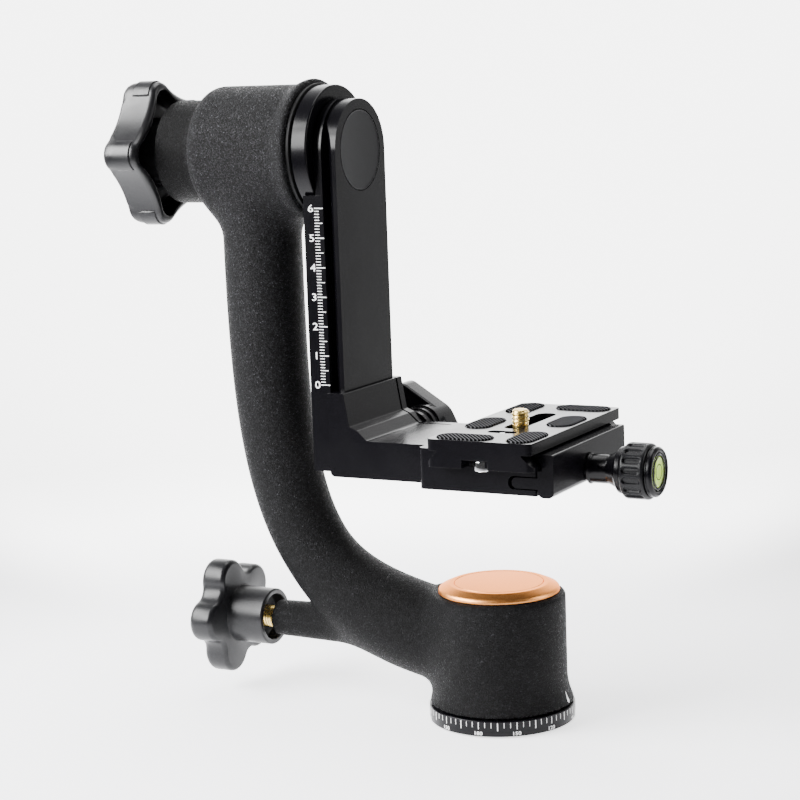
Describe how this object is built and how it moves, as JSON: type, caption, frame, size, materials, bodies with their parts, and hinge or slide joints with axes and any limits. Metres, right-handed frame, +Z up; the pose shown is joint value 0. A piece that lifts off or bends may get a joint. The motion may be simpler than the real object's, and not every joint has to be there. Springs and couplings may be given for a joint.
{
  "type": "gimbal head",
  "caption": "Gimbal head with a bent arm on a turning base, a hanging rail on a tilt axis, and a height-adjustable clamp with a camera plate and lock knobs.",
  "frame": {"origin": "centre of the bounding box's bottom face; the tripod face of the base lies at z = 0", "axes": "+Z up along the pan axis, +X from the tilt knob towards the clamp knob, +Y away from the ruled side of the rail, towards the height lock"},
  "size_m": [0.1956, 0.0776, 0.2193],
  "materials": {
    "crinkle_black": "black crinkle powder coat with a fine bright speckle",
    "satin_black": "machined, satin black anodised",
    "knob_black": "satin moulded plastic",
    "rubber_black": "matt rubber",
    "inlay_grey": "matt dark grey",
    "copper": "copper-orange anodised",
    "brass": "bright turned",
    "bronze": "sintered",
    "steel": "turned",
    "chrome": "plated",
    "nylon": "natural",
    "clear": "clear",
    "liquid": "yellow-green fluid"
  },
  "bodies": {
    "base": {"base_dial": "satin_black", "tripod_thread_insert": "steel", "pan_shaft": "steel", "pan_retaining_washer": "steel", "pan_retaining_nut": "steel"},
    "arm": {"arm_casting": "crinkle_black", "pan_lower_bush": "bronze", "pan_upper_bush": "bronze", "pan_cap": "copper", "pan_thrust_washer": "nylon", "tilt_outer_ring_front": "steel", "tilt_outer_ring_rear": "steel", "tilt_ball_cage_front": "bronze", "tilt_ball_cage_rear": "bronze", "tilt_friction_washer": "rubber_black"},
    "pan_brake": {"pan_brake_shoe": "nylon"},
    "pan_lock": {"pan_lock_rod": "brass", "pan_lock_knob": "knob_black"},
    "swing": {"swing_rail": "satin_black", "pivot_disc": "satin_black", "tilt_spindle": "steel", "tilt_inner_ring_front": "steel", "tilt_inner_ring_rear": "steel", "tilt_spacer": "steel", "spindle_screw": "steel", "inlay_disc": "inlay_grey", "height_stop_screw": "steel"},
    "tilt_washer": {"tilt_pressure_washer": "steel"},
    "tilt_lock": {"tilt_knob": "knob_black", "tilt_knob_insert": "brass"},
    "bracket": {"clamp_bracket": "satin_black"},
    "height_washer": {"height_lock_washer": "steel"},
    "height_lock": {"height_lock_screw": "steel", "height_lock_knob": "knob_black"},
    "jaw": {"clamp_jaw": "satin_black"},
    "clamp_knob": {"clamp_screw": "steel", "clamp_knob_core": "satin_black", "clamp_knob_grip": "rubber_black", "clamp_knob_bezel": "satin_black", "level_cup": "clear", "level_liquid": "liquid", "level_lens": "clear"},
    "plate": {"camera_plate": "satin_black", "plate_stop_near": "chrome", "plate_stop_far": "chrome", "anti_twist_pin": "chrome", "plate_pad_1": "rubber_black", "plate_pad_2": "rubber_black", "plate_pad_3": "rubber_black", "plate_pad_4": "rubber_black", "plate_pad_5": "rubber_black", "plate_pad_6": "rubber_black"},
    "camera_clip": {"camera_screw_clip": "steel"},
    "camera_screw": {"camera_screw": "brass"}
  },
  "joints": [
    {"name": "pan_turn", "type": "hinge", "parent": "base", "child": "arm", "pos_m": [0.0387, -0.00225, 0.02], "axis": [0, 0, 1], "continuous": true},
    {"name": "pan_brake_slide", "type": "slide", "parent": "arm", "child": "pan_brake", "axis": [-1, 0, 0], "range_m": [0, 0.00125]},
    {"name": "pan_lock_turn", "type": "hinge", "parent": "pan_brake", "child": "pan_lock", "pos_m": [-0.0573, -0.00225, 0.0267], "axis": [-1, 0, 0], "range_deg": [0, 360]},
    {"name": "tilt_turn", "type": "hinge", "parent": "arm", "child": "swing", "pos_m": [-0.0213, -0.00225, 0.19385], "axis": [1, 0, 0], "continuous": true},
    {"name": "tilt_washer_slide", "type": "slide", "parent": "swing", "child": "tilt_washer", "axis": [-1, 0, 0], "range_m": [0, 0.00125]},
    {"name": "tilt_lock_turn", "type": "hinge", "parent": "tilt_washer", "child": "tilt_lock", "pos_m": [-0.0913, -0.00225, 0.19385], "axis": [-1, 0, 0], "range_deg": [0, 360]},
    {"name": "height_slide", "type": "slide", "parent": "swing", "child": "bracket", "axis": [0, 0, 1], "range_m": [0, 0.06]},
    {"name": "height_washer_slide", "type": "slide", "parent": "bracket", "child": "height_washer", "axis": [0, 1, 0], "range_m": [0, 0.001]},
    {"name": "height_lock_turn", "type": "hinge", "parent": "height_washer", "child": "height_lock", "pos_m": [-0.0036, 0.03275, 0.094], "axis": [0, 1, 0], "range_deg": [0, 360]},
    {"name": "jaw_slide", "type": "slide", "parent": "bracket", "child": "jaw", "axis": [1, 0, 0], "range_m": [0, 0.0032]},
    {"name": "clamp_knob_turn", "type": "hinge", "parent": "jaw", "child": "clamp_knob", "pos_m": [0.0887, -0.00225, 0.0885], "axis": [1, 0, 0], "range_deg": [0, 1440]},
    {"name": "plate_slide", "type": "slide", "parent": "bracket", "child": "plate", "axis": [0, 1, 0], "range_m": [-0.0018, 0.0002]},
    {"name": "camera_screw_slide", "type": "slide", "parent": "plate", "child": "camera_clip", "axis": [0, 1, 0], "range_m": [-0.0044, 0.0204]},
    {"name": "camera_screw_turn", "type": "hinge", "parent": "camera_clip", "child": "camera_screw", "pos_m": [0.05015, -0.00585, 0.098], "axis": [0, 0, 1], "continuous": true}
  ],
  "couplings": [
    {"joint": "pan_lock_turn", "follows": "pan_brake_slide", "rad_per_m": 5026.5},
    {"joint": "tilt_lock_turn", "follows": "tilt_washer_slide", "rad_per_m": 5026.5},
    {"joint": "height_lock_turn", "follows": "height_washer_slide", "rad_per_m": 6283.2},
    {"joint": "clamp_knob_turn", "follows": "jaw_slide", "rad_per_m": 7854}
  ]
}
